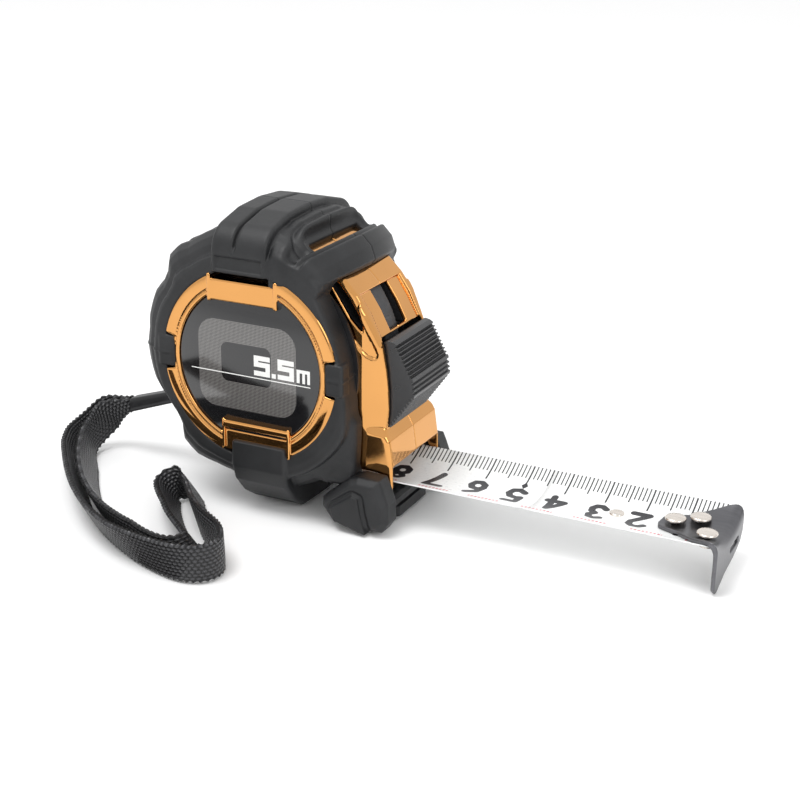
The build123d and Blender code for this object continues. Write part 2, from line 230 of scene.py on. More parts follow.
def lathe(profile, centre, steps=48):
    """Points and faces of (radius, z) turned about a vertical line."""
    points, faces = [], []
    for k in range(steps):
        a = 2 * math.pi * k / steps
        points += [(centre[0] + r * math.cos(a), centre[1] + r * math.sin(a), z) for r, z in profile]
    n = len(profile)
    for k in range(steps):
        for i in range(n - 1):
            a, b = k * n + i, (k + 1) % steps * n + i
            faces.append((a, b, b + 1, a + 1))
    faces.append(tuple(k * n for k in range(steps))[::-1])
    faces.append(tuple(k * n + n - 1 for k in range(steps)))
    return points, faces


def edge_bevel(obj, width, segments=2, angle=35):
    """Rounds the sharp edges, and keeps flat faces flat."""
    bevel = obj.modifiers.new("edges", "BEVEL")
    bevel.width, bevel.segments, bevel.limit_method = width * MM, segments, "ANGLE"
    bevel.angle_limit = math.radians(angle)
    bevel.harden_normals = True
    apply_all(obj)
    return obj


def apply_all(obj):
    graph = bpy.context.evaluated_depsgraph_get()
    mesh = bpy.data.meshes.new_from_object(obj.evaluated_get(graph))
    obj.modifiers.clear()
    obj.data = mesh


# ---------------------------------------------------------------- materials

class Socket:
    """A node's output that arithmetic can be written with."""

    def __init__(self, tree, out):
        self.tree, self.out = tree, out

    def _math(self, kind, *others, clamp=False):
        node = self.tree.nodes.new("ShaderNodeMath")
        node.operation, node.use_clamp = kind, clamp
        for socket, value in zip(node.inputs, (self, *others)):
            if isinstance(value, Socket):
                self.tree.links.new(value.out, socket)
            else:
                socket.default_value = value
        return Socket(self.tree, node.outputs[0])

    def __add__(self, o):
        return self._math("ADD", o)

    def __sub__(self, o):
        return self._math("SUBTRACT", o)

    def __mul__(self, o):
        return self._math("MULTIPLY", o)

    def __truediv__(self, o):
        return self._math("DIVIDE", o)

    def __abs__(self):
        return self._math("ABSOLUTE")

    def low(self, o):
        return self._math("MINIMUM", o)

    def high(self, o):
        return self._math("MAXIMUM", o)

    def below(self, o):
        return self._math("LESS_THAN", o)

    def above(self, o):
        return self._math("GREATER_THAN", o)

    def sine(self):
        return self._math("SINE")

    def fract(self):
        return self._math("FRACT")

    def clamp(self):
        return self._math("MULTIPLY", 1.0, clamp=True)

    def hypot(self, o):
        return (self * self + o * o)._math("SQRT")


class Surface:
    """A Principled material that is put together a line at a time."""

    def __init__(self, name, colour, roughness, metallic=0.0, **fixed):
        self.material = bpy.data.materials.new(name)
        self.material.use_nodes = True
        self.tree = self.material.node_tree
        self.shader = self.tree.nodes["Principled BSDF"]
        self.shader.inputs["Base Color"].default_value = (*colour, 1)
        self.shader.inputs["Roughness"].default_value = roughness
        self.shader.inputs["Metallic"].default_value = metallic
        for key, value in fixed.items():
            self.shader.inputs[key.replace("_", " ")].default_value = value
        coordinates = self.tree.nodes.new("ShaderNodeTexCoord")
        self.place = coordinates.outputs["Object"]
        self.uv = coordinates.outputs["UV"]
        self.height = None

    def axes(self, source=None):
        """x, y and z in millimetres, or u, v if the source is the UV map."""
        node = self.tree.nodes.new("ShaderNodeSeparateXYZ")
        self.tree.links.new(source or self.place, node.inputs[0])
        scale = 1.0 if source else 1 / MM
        return [Socket(self.tree, o) * scale for o in node.outputs]

    def noise(self, per_mm, detail=2.0, roughness=0.5, stretch=(1, 1, 1)):
        mapping = self.tree.nodes.new("ShaderNodeMapping")
        mapping.inputs["Scale"].default_value = stretch
        self.tree.links.new(self.place, mapping.inputs[0])
        node = self.tree.nodes.new("ShaderNodeTexNoise")
        node.inputs["Scale"].default_value = per_mm / MM
        node.inputs["Detail"].default_value = detail
        node.inputs["Roughness"].default_value = roughness
        self.tree.links.new(mapping.outputs[0], node.inputs["Vector"])
        return Socket(self.tree, node.outputs[0])

    def upward(self):
        """1 where the surface faces up, 0 elsewhere."""
        coordinates = self.tree.nodes.new("ShaderNodeTexCoord")
        return self.axes(coordinates.outputs["Normal"])[2].above(0.3)

    def ramp(self, value, *stops):
        node = self.tree.nodes.new("ShaderNodeValToRGB")
        self.tree.links.new(value.out, node.inputs[0])
        elements = node.color_ramp.elements
        while len(elements) < len(stops):
            elements.new(0.5)
        for element, (position, colour) in zip(elements, stops):
            element.position, element.color = position, (*colour, 1)
        return node.outputs[0]

    def mix(self, share, a, b):
        """Colour a, with b laid over it where share is 1."""
        node = self.tree.nodes.new("ShaderNodeMix")
        node.data_type = "RGBA"
        for socket, value in ((node.inputs[0], share), (node.inputs[6], a), (node.inputs[7], b)):
            if isinstance(value, Socket):
                self.tree.links.new(value.out, socket)
            elif isinstance(value, bpy.types.NodeSocket):
                self.tree.links.new(value, socket)
            else:
                socket.default_value = (*value, 1)
        return node.outputs[2]

    def set(self, name, value):
        self.tree.links.new(value.out if isinstance(value, Socket) else value, self.shader.inputs[name])

    def bump(self, height, depth_mm):
        node = self.tree.nodes.new("ShaderNodeBump")
        node.inputs["Strength"].default_value = 1.0
        node.inputs["Distance"].default_value = depth_mm * MM
        self.tree.links.new(height.out, node.inputs["Height"])
        if self.height:
            self.tree.links.new(self.height, node.inputs["Normal"])
        self.height = node.outputs[0]
        self.tree.links.new(self.height, self.shader.inputs["Normal"])


def plating(name, colour, roughness=0.07):
    """Bright metal plating on moulded plastic: faint orange peel and uneven polish."""
    s = Surface(name, colour, roughness, 1.0)
    tone = s.noise(0.05)
    s.set("Base Color", s.ramp(tone, (0.3, tuple(c * 0.9 for c in colour)), (0.7, colour)))
    s.set("Roughness", s.noise(0.6, 3) * 0.06 + (roughness - 0.03))
    s.bump(s.noise(0.35, 1), 0.012)
    return s.material


def elastomer():
    """Moulded rubber: eroded fine texture, paler where it has been rubbed."""
    s = Surface("rubber", (0.013, 0.0135, 0.0145), 0.5, Specular_IOR_Level=0.42)
    fine, broad = s.noise(6.0, 3), s.noise(0.12, 4)
    s.set("Base Color", s.ramp(broad, (0.35, (0.008, 0.0085, 0.0095)), (0.7, (0.017, 0.0175, 0.019))))
    s.set("Roughness", broad * 0.16 + 0.42)
    s.bump(fine, 0.035)
    s.bump(s.noise(0.8, 2), 0.03)
    return s.material


def hard_black(name="black_plastic", roughness=0.38, shine=0.35):
    s = Surface(name, (0.014, 0.014, 0.016), roughness, Specular_IOR_Level=shine)
    mottle = s.noise(0.3, 4)
    s.set("Base Color", s.ramp(mottle, (0.3, (0.010, 0.010, 0.011)), (0.75, (0.018, 0.018, 0.020))))
    s.set("Roughness", mottle * 0.2 + (roughness - 0.08))
    s.bump(s.noise(4.0, 3), 0.02)
    return s.material


GOLD = plating("gold_plating", (0.68, 0.333, 0.108))
RUBBER = elastomer()
BLACK = hard_black()


# ---------------------------------------------------------------- rubber

# degrees round the drum axis and the jacket's radius there
RIM = [(-180, 31.5), (-164, 30.9), (-153, 29.4), (-144, 28.6), (-138, 29.6), (-132, 32.6), (-123, 33.0),
       (-113, 31.4), (-105, 30.9), (-90, 31.4), (-70, 32.0), (-40, 32.0), (0, 32.0), (40, 31.5), (56, 30.4),
       (66, 30.3), (72, 31.6), (82, 32.4), (108, 32.6), (125, 32.4), (131, 33.4), (137, 33.4), (142, 31.4),
       (148, 30.9), (155, 31.7), (166, 31.7), (172, 31.2), (180, 31.5)]
# outlines below are in (radius, w), (x, z) or (w, z), with w the distance from the middle of the case
RIM_SECTION = [(16, -6), (31.7, -6), (31.7, 12.8), (31.3, 15.0), (30.2, 16.8), (28.8, 17.9), (27.3, 18.3),
               (26.8, 18.7), (26.3, 19.9), (25.6, 20.2), (16, 20.2)]
FRONT_LIMIT = [(-60, -20), (24.2, -20), (24.3, 13.7), (25.2, 24), (24.9, 31), (23.8, 40.8), (22, 46.6),
               (19.4, 52.1), (17.6, 55.8), (20, 60), (32, 64), (40, 95), (-60, 95)]
CROWN_CORE = [(-9, 56), (14.4, 56), (14.5, 63.6), (8, 65.2), (0, 65.7), (-9, 65.7)]
PLATE_FIELD = [(-8.0, 59.9), (4.6, 59.9), (4.6, 63.2), (-8.0, 63.2)]
SECOND_CORE = [(-9, 54), (14.6, 54), (14.8, 61.6), (8, 64.4), (0, 64.9), (-9, 64.9)]
KEEL = [(-9, 0.4), (0, 0.4), (12, 0.8), (16.5, 3.8), (20.2, 8.2), (21.4, 12), (21.3, 18.2), (17, 19.5), (-9, 14)]
BROW = [(13.8, 59.0), (14.8, 63.4), (16.6, 65.9), (18.9, 66.0), (21.0, 63.9), (22.0, 61.2), (21.3, 60.2), (17, 57)]
NOSE_ROOM = [(16.9, 14.9), (16.3, 40), (14.3, 56), (20.4, 59.2), (50, 62), (50, 14.9)]
TOE_ROOM = [(18, 6.2), (25.4, 12.6), (26.6, 13.8), (34, 14.6), (50, 15), (50, -5), (18, -5)]


def crown_lug(x, w, z):
    """The thick strap over the top, with a slit along it and a blank plate at its foot."""
    lug = smooth_max(outline(w, z, CROWN_CORE) - 6.9, np.abs(x + 1.7) - 7.3, 1.1)
    slit = 1.1 * bump((x + 2.9) / 0.42) * fade(z, 63.6, 66) * fade(w, -9, -4)
    plate = 0.45 * fade(-outline(x, z, PLATE_FIELD), -0.05, 0.25) * fade(w, 20, 20.6)
    return smooth_max(lug + slit + plate, np.minimum(59.1 - z, w - 12), 0.4)


def brow(x, w, z):
    """Visor over the nose, bent back and down towards the sides."""
    across = x + 0.011 * w * w
    out = smooth_max(outline(across, z + 0.006 * w * w, BROW) - 0.5, w - 20.3, 3.0)
    return out + 0.7 * bump((across - 17.6) / 0.5) * fade(z, 62, 63.5)


def jacket_wall(x, w, z, r, turn):
    """The padded wall round the drum, cut off at the nose, with its front rim and the jaw above the foot."""
    radius = np.interp(turn, *zip(*RIM))
    level = RING_R + (r - RING_R) * (JACKET_R - RING_R) / (radius - RING_R)
    front = outline(x, z, FRONT_LIMIT)
    body = smooth_max(outline(level, w, RIM_SECTION) - 0.4, front, 3.0)
    jaw = block(x, w, z, (17, 9, 10), (25.7, 16.6, 27), 1.4)
    body = smooth_min(body, jaw, 2.5)
    front_rim = smooth_max(smooth_max(r - 28.3, w - 20.45, 1.4), 5 - x, 5.0)
    body = smooth_min(body, smooth_max(front_rim, front, 1.5), 0.5)
    return smooth_max(body, RING_R - 0.35 - r, 0.3)


def slot_opening(w, r, turn):
    """Distance outside the rounded slot, measured on the wall's surface."""
    along = r * np.radians(turn - SLOT_TURN)
    return corner(np.abs(along) - 0.9, np.abs(w) - SLOT_HALF) - 0.6


def slot_surround(opening, r, turn):
    """Height of the ridge round the slot, less the groove outside it."""
    over = fade(r, 27, 29) * fade(turn, 40, 50) * (1 - fade(turn, 80, 84))
    return (0.85 * bump((opening - 2.3) / 0.9) - 0.6 * bump((opening - 4.2) / 0.6)) * over


def rear_groove(w, r, turn):
    """Depth of the channel that parts the pads at the upper back."""
    return 1.3 * bump((w - 11.5) / 1.3) * fade(turn, 104, 112) * (1 - fade(turn, 150, 158)) * fade(r, 27, 29)


def second_band(x, w, z):
    return smooth_max(outline(w, z, SECOND_CORE) - 6.0, np.abs(x - 7.6) - 2.3, 1.6)


def keel(x, w, z):
    return smooth_max(outline(w, z, KEEL), np.abs(x - 2.5) - 7.4, 1.2)


def side_tabs(x, y, z):
    """The two tabs that reach in through the ring's notches."""
    return np.minimum(block(x, y, z, (20.3, -20.9, 33.6), (24.8, -17, 41.4), 0.7),
                      block(x, y, z, (-24.8, -20.9, 34.0), (-20.1, -17, 41.8), 0.7))


def moving_room(x, y, z):
    """What the blade, the brake shoe and the lock's tongue need inside the case over their travel."""
    r, turn = polar(x, z)
    blade = block(x, y, z, (-12.2, -13, 8.2), (13, 13, 12.6), 0.1)
    shoe = block(x, y, z, (4, -6.2, 7.4), (18, 6.2, 18), 0.1)
    tongue = np.maximum(np.maximum(np.abs(r - 27.75) - 1.35, np.abs(y) - WINDOW_HALF),
                        np.abs(turn - 29) * 0.5 - 14.5)
    return np.minimum(np.minimum(blade, shoe), tongue)


def rubber(x, y, z):
    """Right half of the jacket."""
    w = -y
    r, turn = polar(x, z)
    opening = slot_opening(w, r, turn)
    body = jacket_wall(x, w, z, r, turn) + rear_groove(w, r, turn)
    body = smooth_min(body, second_band(x, w, z), 1.0) - slot_surround(opening, r, turn)
    body = smooth_min(body, crown_lug(x, w, z), 0.3)
    body = smooth_min(body, keel(x, w, z), 0.5)
    body = smooth_min(body, brow(x, w, z), 0.5)
    body = smooth_max(body, -np.maximum(opening, 28.6 - r), 0.5)
    seam = 0.25 * bump((z - 37.5) / 0.3) * fade(r, 20.8, 21.4)
    body = smooth_min(body, side_tabs(x, y, z), 0.3) - seam
    under_lug = block(x, y, z, (-8.9, -25, 57.2), (5.5, -18.8, 59.1), 0.1)
    body = smooth_max(body, -under_lug, 0.3)
    nose_room = np.maximum(outline(x, z, NOSE_ROOM), w - NOSE_HALF - 0.1)
    body = smooth_max(body, -nose_room, 0.5)
    mouth_room = np.maximum(np.maximum(z - 15.2, 12 - x), w - MOUTH_HALF)
    body = smooth_max(body, -mouth_room, 0.5)
    body = smooth_max(body, -outline(x, z, TOE_ROOM), 0.5)
    body = np.maximum(body, -moving_room(x, y, z))
    return smooth_max(body, y, 0.35)


both_sides("rubber", rubber, (-36, -23, -1), (27, 0.6, 74), RUBBER, "case", "bumper")


# ---------------------------------------------------------------- plated case

NOSE = [(10, 13.6), (28.5, 13.4), (30.5, 13.2), (31.4, 11.4), (32.7, 7.8), (33.4, 7.8), (33.9, 10.5), (33.8, 15.4),
        (32.9, 21.6), (31.4, 24.2), (31.9, 29.0), (31.7, 33.7), (31.2, 38.5), (30.2, 44.2), (29.2, 46.4),
        (26.6, 51.6), (23.8, 55.6), (20.4, 59.0), (10, 60)]
PLATE = [(34, 44.6), (29.2, 45.2), (26.2, 50.9), (23.5, 54.9), (24.3, 56.4), (34, 60)]
SCOOP = [(14, 58.6), (20.4, 58.8), (23.2, 56.2), (24.6, 54.2), (24.6, 52.4), (25.2, 50.2), (26.3, 47.8),
         (27.6, 45.4), (28.7, 43.3), (29.1, 42.2), (28.9, 41.5), (28.2, 41.4), (27.1, 41.8), (26.2, 42.5),
         (25.3, 43.4), (23.7, 45.2), (22.1, 47.3), (20.2, 50), (18, 52.8), (14, 56)]
POCKET = [(18.3, 55.3), (22.2, 49.7), (24.4, 47.6), (25.9, 46.6), (25.9, 48.2), (25.2, 50.5), (22.7, 54.4),
          (19.3, 58.2), (15.5, 59)]


def ring_band(x, w, z, r):
    """The convex ring with a groove by its inner edge, and a notch for each side tab."""
    face = w - 20.85 + 0.055 * (r - 21.0) ** 2 + 0.3 * bump((r - 20.05) / 0.22)
    body = smooth_max(smooth_max(r - RING_R + 0.05, face, 0.6), 18.95 - r, 0.35)
    for side, middle in ((1, 37.5), (-1, 37.9)):
        notch = outline(x * side, z, [(20.3, middle - 3.9), (26, middle - 5.2), (26, middle + 5.2),
                                      (20.3, middle + 3.9)])
        body = smooth_max(body, -(notch - 0.1), 0.3)
    return body


def ring_top(x, w, z):
    """Where the ring is cut at the top, and the sloped bar with its end walls that fills the gap."""
    gap = outline(x, z, [(-9.9, 52.4), (7.4, 52.4), (7.9, 61), (-10.2, 61)])
    bar = smooth_max(smooth_max(gap, z - 57.4, 0.5), w - 20.9 + 0.05 * (z - 53.0), 0.3)
    reach = outline(x, z, [(-10.6, 52.0), (8.3, 52.0), (8.3, 58.6), (-10.6, 58.6)])
    walls = np.minimum(np.abs(x - 7.7) - 0.5, np.abs(x + 10.0) - 0.5)
    walls = smooth_max(smooth_max(reach, walls, 0.4), w - 21.1, 0.4)
    return gap, np.minimum(bar, walls)


def ring_foot(x, y, z, r):
    """Where the ring is cut at the foot, and the bar, plate, back and end walls that fill the gap."""
    w = -y
    gap = outline(x, z, [(-7.2, 14.5), (11.0, 14.5), (10.9, 23.3), (-6.9, 23.3)])
    bar = block(x, y, z, (-7.0, -21.4, 21.5), (10.8, -15, 23.3), 0.35)
    plate = smooth_max(block(x, y, z, (-7.0, -20.4, 15.5), (10.8, -15, 20.7), 0.3), r - RING_R + 0.05, 0.3)
    back = block(x, y, z, (-6.6, -19.0, 20.0), (10.6, -15, 22.0))
    walls = np.minimum(np.abs(x - 10.7) - 0.4, np.abs(x + 6.9) - 0.4)
    walls = smooth_max(smooth_max(gap - 0.3, walls, 0.3), w - 21.3, 0.3)
    walls = smooth_max(walls, 16.2 - z, 0.3)
    return gap, np.minimum(np.minimum(bar, plate), np.minimum(walls, back))


def ring(x, y, z):
    w, r = -y, polar(x, z)[0]
    top_gap, top = ring_top(x, w, z)
    foot_gap, foot = ring_foot(x, y, z, r)
    body = smooth_max(ring_band(x, w, z, r), -(top_gap - 0.3), 0.3)
    body = np.minimum(body, top)
    body = smooth_max(body, -(foot_gap - 0.2), 0.3)
    return smooth_max(np.minimum(body, foot), -(w - 16.5), 0.2)


def nose(x, y, z):
    """Cheeks, sunk front plate with its window, side scoops with a pocket each, and the mouth."""
    w = np.abs(y)
    cheek = NOSE_HALF - 0.27 * np.maximum(x - 25.7, 0) * fade(z, 22.6, 25.0)
    body = smooth_max(outline(x, z, NOSE), (w - cheek) * 0.97, 1.1)
    scoop_depth = 0.35 + 0.05 * np.maximum(z - 41.5, 0)
    hollows = ((np.maximum(outline(x, z, PLATE), w - 10.0), 0.2),
               (np.maximum(outline(x, z, SCOOP), cheek - scoop_depth - w), 0.8),
               (np.maximum(outline(x, z, POCKET) + 0.3, 8.0 - w), 0.3),
               (block(x, w, z, (20, -1, 45.9), (40, WINDOW_HALF, 54.9), 0.2), 0.2),
               (block(x, w, z, (25, -1, 24.6), (45, 10.35, 45.4), 0.2), 0.2),
               (block(x, w, z, (0, -1, -5), (50, MOUTH_HALF - 0.1, 15.4), 0.3), 0.3))
    for hollow, rounding in hollows:
        body = smooth_max(body, -hollow, rounding)
    body = np.maximum(body, 14.5 - x)
    body = np.maximum(body, -moving_room(x, y, z))
    return smooth_max(body, y, 0.25)


def slot_bar(x, y, z):
    """Plated bar that shows in the slot of the jacket."""
    across, out = math.sin(math.radians(SLOT_TURN)), math.cos(math.radians(SLOT_TURN))
    along, up = x * across - (z - AXIS_Z) * out, x * out + (z - AXIS_Z) * across
    return smooth_max(block(along, y, up, (-1.9, -12.2, 27.0), (1.9, 2, 29.5), 0.2), y, 0.25)


def gold_half(x, y, z):
    return np.minimum(np.minimum(ring(x, y, z), nose(x, y, z)), slot_bar(x, y, z))


def paint_shade_in_hollows(obj):
    """Painted shade: the deep walls inside the window and the thumb opening, and the pocket, are given the black
    plastic in place of the plating.
    """
    obj.data.materials.append(BLACK)
    centre = np.empty(3 * len(obj.data.polygons))
    obj.data.polygons.foreach_get("center", centre)
    x, y, z = centre.reshape(-1, 3).T / MM
    w = np.abs(y)
    depth = -outline(x, z, NOSE)
    # Faces that get painted shade: the deep walls of the window and the thumb opening, and the pocket.
    front = (depth > 1.5) & (x > 16) & (z > 24) & (z < 56.5) & (w < 10.9)
    pocket = (outline(x, z, POCKET) < 0.5) & (w < 11.6) & (w > 7)
    obj.data.polygons.foreach_set("material_index", (front | pocket).astype(int))


# Each half's deep hollows get the black plastic as painted shade.
for piece in both_sides("case_plating", gold_half, (-24.5, -22.3, 4), (35, 0.6, 65), GOLD, "case", "shell",
                        FINE_CELL):
    paint_shade_in_hollows(piece)


# ---------------------------------------------------------------- label

def label_film():
    """Gloss black film with a halftone frame; what is printed is generic."""
    s = Surface("label_film", (0.010, 0.010, 0.011), 0.10, Specular_IOR_Level=0.8)
    x, _, z = s.axes()
    z = z - AXIS_Z
    u, v = (x + z) * 8.9, (x - z) * 8.9
    dots = ((u.sine() * v.sine()) * 1.1 + 0.55).clamp()
    outer = ((abs(x + 0.5) - 8.5).high(0.0)).hypot((abs(z + 0.45) - 6.2).high(0.0)).below(4.6)
    inner = ((abs(x + 0.7) - 4.9).high(0.0)).hypot((abs(z - 0.3) - 3.0).high(0.0)).below(1.8)
    share = dots * outer * (inner * -1.0 + 1.0)
    s.set("Base Color", s.mix(share, (0.007, 0.007, 0.008), (0.20, 0.192, 0.185)))
    s.set("Roughness", s.noise(0.8, 2) * 0.05 + 0.08)
    return s.material


def print_ink(name, colour):
    s = Surface(name, colour, 0.35)
    s.set("Base Color", s.ramp(s.noise(2.0, 2), (0.3, tuple(c * 0.93 for c in colour)), (0.7, colour)))
    return s.material


def label_disc(sign, name):
    """Film on a disc with a bevelled edge; sign is 1 on the right side and -1 on the left."""
    rings = [(LABEL_R - 0.3, LABEL_FACE), (LABEL_R, LABEL_FACE - 0.15), (LABEL_R, LABEL_BACK)]
    steps = 96
    points, faces = [], []
    for k in range(steps):
        a = 2 * math.pi * k / steps
        points += [(r * math.cos(a), -sign * h, AXIS_Z + r * math.sin(a)) for r, h in rings]
    points += [(0, -sign * LABEL_FACE, AXIS_Z), (0, -sign * LABEL_BACK, AXIS_Z)]
    for k in range(steps):
        a, b = 3 * k, 3 * ((k + 1) % steps)
        wedge = [(a, b, b + 1, a + 1), (a + 1, b + 1, b + 2, a + 2), (b, a, 3 * steps),
                 (a + 2, b + 2, 3 * steps + 1)]
        faces += [f if sign < 0 else f[::-1] for f in wedge]
    return make_object(name + "_look", points, faces, LABEL, "case", [name])


def raised_print(name, shapes, sign, ink):
    """Flat printed shapes, (x, z) outlines with the page's left to right as seen from that side."""
    points, faces = [], []
    for shape in shapes:
        first = len(points)
        points += [(sign * x, -sign * (LABEL_FACE + 0.02), AXIS_Z + z) for x, z in shape]
        faces.append(tuple(range(first, first + len(shape))))
    return make_object(name, points, faces, ink, "case", smooth=False)


def bar(x0, z0, x1, z1):
    return [(x0, z0), (x1, z0), (x1, z1), (x0, z1)]


def figure_five(x, z, w, h, t):
    """A square-shouldered five, drawn as five strokes."""
    middle = z + h * 0.44
    return [bar(x, z + h - t, x + w, z + h), bar(x, middle, x + t, z + h - t),
            bar(x + t, middle, x + w, middle + t), bar(x + w - t, z + t, x + w, middle), bar(x, z, x + w, z + t)]


LABEL = label_film()
WHITE_INK = print_ink("white_ink", (0.82, 0.82, 0.80))
FOOT = -1.85           # the size mark's foot, from the middle of the label
size_mark = (figure_five(1.45, FOOT, 4.3, 4.9, 1.2) + [bar(6.2, FOOT, 7.3, FOOT + 1.1)]
             + figure_five(7.8, FOOT, 4.3, 4.9, 1.2)
             + [bar(12.8, FOOT, 13.6, 1.4), bar(13.6, 0.6, 16.3, 1.4), bar(14.3, FOOT, 15.0, 0.6),
                bar(15.6, FOOT, 16.3, 0.6)])
rule = [bar(-15.7, -2.65, 16.4, -2.42)]
for sign, side in ((1, "right"), (-1, "left")):
    label_disc(sign, "label_" + side)
    raised_print("size_mark_" + side, size_mark + rule, sign, WHITE_INK)


# ---------------------------------------------------------------- lock

RIB_DEPTH = 0.55


def teeth(a, b, count):
    """Ribs on the line from a to b."""
    out = []
    along = Vector(b) - Vector(a)
    normal = Vector((along.y, -along.x)).normalized()
    for k in range(count):
        for share, sunk in ((0.12, RIB_DEPTH), (0.42, 0), (0.62, 0), (0.92, RIB_DEPTH)):
            p = Vector(a) + along * ((k + share) / count) + normal * sunk
            out.append((p.x, p.y))
    return out


def button_profile():
    """Side view of the thumb lock, with its two ribbed faces."""
    front = teeth((37.3, 33.0), (36.8, 36.4), 3) + teeth((36.7, 36.8), (32.6, 44.4), 9)
    lower = teeth((31.3, 24.5), (37.2, 32.7), 10)
    back = [(30.5 * math.cos(math.radians(a)), AXIS_Z + 30.5 * math.sin(math.radians(a)))
            for a in (14, 5, -5, -15, -24)]
    return lower + front + [(32.1, 45.2), (30.9, 45.4)] + back


points, faces = prism(button_profile()[::-1], -10.0, 10.0)
button = make_object("lock_button_look", points, faces, hard_black("button_plastic", 0.28, 0.6), "lock",
                     ["lock_button"], smooth=False)
edge_bevel(button, 0.12, 2, 25)


def grey_plastic():
    s = Surface("grey_plastic", (0.035, 0.036, 0.039), 0.55)
    s.set("Base Color", s.ramp(s.noise(0.5, 3), (0.3, (0.030, 0.031, 0.034)), (0.7, (0.045, 0.046, 0.05))))
    s.bump(s.noise(3.0, 2), 0.02)
    return s.material


def lock_tongue(x, y, z):
    """The grey strip that shows in the window above the button, with a raised block near its foot."""
    r, turn = polar(x, z)
    strip = np.maximum(np.abs(r - 27.6) - 0.7, np.abs(y + 0.8) - 3.2)
    raised = np.maximum(np.abs(y + 1.6) - 1.5, np.abs(turn - 19.5) * 0.5 - 1.5)
    body = np.minimum(strip, np.maximum(np.maximum(r - 28.9, 27 - r), raised))
    return smooth_max(body, np.abs(turn - 21) * 0.5 - 9.0, 0.3)


moulded("lock_tongue", lock_tongue, (14, -4.5, 30), (31, 4.5, 60), grey_plastic(), "lock", ["lock_slider"])


# ---------------------------------------------------------------- toes, neck, sill

TOE = [(18.1, 7.2), (25.2, 13.2), (27.4, 13.9), (32.8, 13.8), (33.8, 11.6), (35.1, 8.0), (35.3, 3.4), (33.6, 0.9),
       (26.0, 0.6), (21.0, 1.2), (18.1, 4.8)]
TOE_PANEL = [(21.2, 5.6), (26.6, 9.4), (28.0, 9.0), (28.6, 5.4), (30.0, 0.6), (22.0, 2.6)]


def toe(x, y, z):
    """Wear foot with a bevelled outer face and a raised panel on it."""
    w = -y
    edge = outline(x, z, TOE)
    slope = (edge + w - TOE_OUT + 1.5) * 0.707
    body = smooth_max(smooth_max(edge, np.maximum(w - TOE_OUT, 13.3 - w), 0.35), slope, 0.4)
    panel = outline(x, z, TOE_PANEL)
    body = smooth_min(body, smooth_max(panel - 0.2, w - 20.05, 0.4), 0.15)
    return body + 0.5 * bump((panel - 1.0) / 0.4) * fade(w, 18.4, 19)


both_sides("front_foot", toe, (17, -20.8, -0.8), (38, -12, 17), RUBBER, "case", "toe", FINE_CELL)


def neck(x, y, z):
    """Slim plastic tail that holds the wrist strap, with a thin flange below."""
    along = (x + 34.0) / -14.2
    top, low = 19.3 - 4.6 * along, 16.4 - 5.2 * along
    body = smooth_max(np.maximum(z - top, low - z), np.abs(y) - NECK_HALF, 0.8)
    flange = smooth_max(np.maximum(z - low - 0.5, low - 0.2 - z), np.abs(y) - NECK_HALF - 0.35, 0.3)
    return smooth_max(np.minimum(body, flange), np.maximum(NECK_END - x, x + 20.5), 0.7)


moulded("strap_neck_look", neck, (-50, -3.5, 8), (-19.5, 3.5, 23), BLACK, "case", ["strap_neck"])


def dress(names, material):
    """Pieces that keep their CAD shape only take a material."""
    for name in names:
        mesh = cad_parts[name].data
        mesh.materials.clear()
        mesh.materials.append(material)


dress(("mouth_guide", "brake_shoe", "drum", "drum_flange", "blade_coil"), BLACK)
dress(("hook_bumper", "brake_pad"), RUBBER)


# ---------------------------------------------------------------- blade

def segment(s, u, v, a, b):
    """Distance from (u, v) to the stroke from a to b."""
    ex, ey = b[0] - a[0], b[1] - a[1]
    pu, pv = u - a[0], v - a[1]
    t = ((pu * ex + pv * ey) / (ex * ex + ey * ey)).clamp()
    return (pu - t * ex).hypot(pv - t * ey)


def arc(centre, radius, start, end, steps=5):
    turns = [math.radians(start + (end - start) * k / steps) for k in range(steps + 1)]
    return [(centre[0] + radius * math.cos(a), centre[1] + radius * math.sin(a)) for a in turns]


DIGITS = {   # strokes in a box 0.62 wide and 1 high
    1: [[(0.14, 0.78), (0.34, 0.92), (0.34, 0.08)]],
    2: [arc((0.31, 0.68), 0.23, 165, -30, 4) + [(0.08, 0.08), (0.56, 0.08)]],
    3: [arc((0.29, 0.71), 0.20, 150, -70, 4), arc((0.29, 0.30), 0.22, 75, -150, 5)],
    4: [[(0.46, 0.08), (0.46, 0.92), (0.08, 0.32), (0.60, 0.32)]],
    5: [[(0.54, 0.92), (0.18, 0.92), (0.13, 0.54)] + arc((0.31, 0.34), 0.25, 100, -145, 5)],
    6: [arc((0.31, 0.31), 0.22, 0, 360, 7), [(0.10, 0.38), (0.22, 0.72), (0.50, 0.90)]],
    7: [[(0.06, 0.92), (0.56, 0.92), (0.26, 0.08)]],
    8: [arc((0.31, 0.71), 0.18, 0, 360, 6), arc((0.31, 0.29), 0.22, 0, 360, 7)],
}
DIGIT_HEIGHT = 7.8


def scale_lines(run, y):
    """1 on the millimetre, half-centimetre and centimetre lines along the far edge."""
    lines = None
    for pitch, length, half in ((1.0, 3.9, 0.15), (5.0, 5.1, 0.17), (10.0, 6.8, 0.20)):
        near = abs((run / pitch + 0.5).fract() - 0.5) * pitch
        line = near.below(half) * y.above(12.0 - length)
        lines = line if lines is None else lines.high(line)
    return lines


def scale_digits(s, x, y):
    """1 on the strokes of each centimetre's number."""
    ink = None
    for digit, strokes in DIGITS.items():
        u = ((x - (SCALE_ZERO - 10 * digit - 0.4)) * -1.0) / DIGIT_HEIGHT + 0.31
        v = ((y - 0.2) * -1.0) / DIGIT_HEIGHT + 0.5
        nearest = None
        for stroke in strokes:
            for a, b in zip(stroke, stroke[1:]):
                d = segment(s, u, v, a, b)
                nearest = d if nearest is None else nearest.low(d)
        figure = nearest.below(0.105)
        ink = figure if ink is None else ink.high(figure)
    return ink


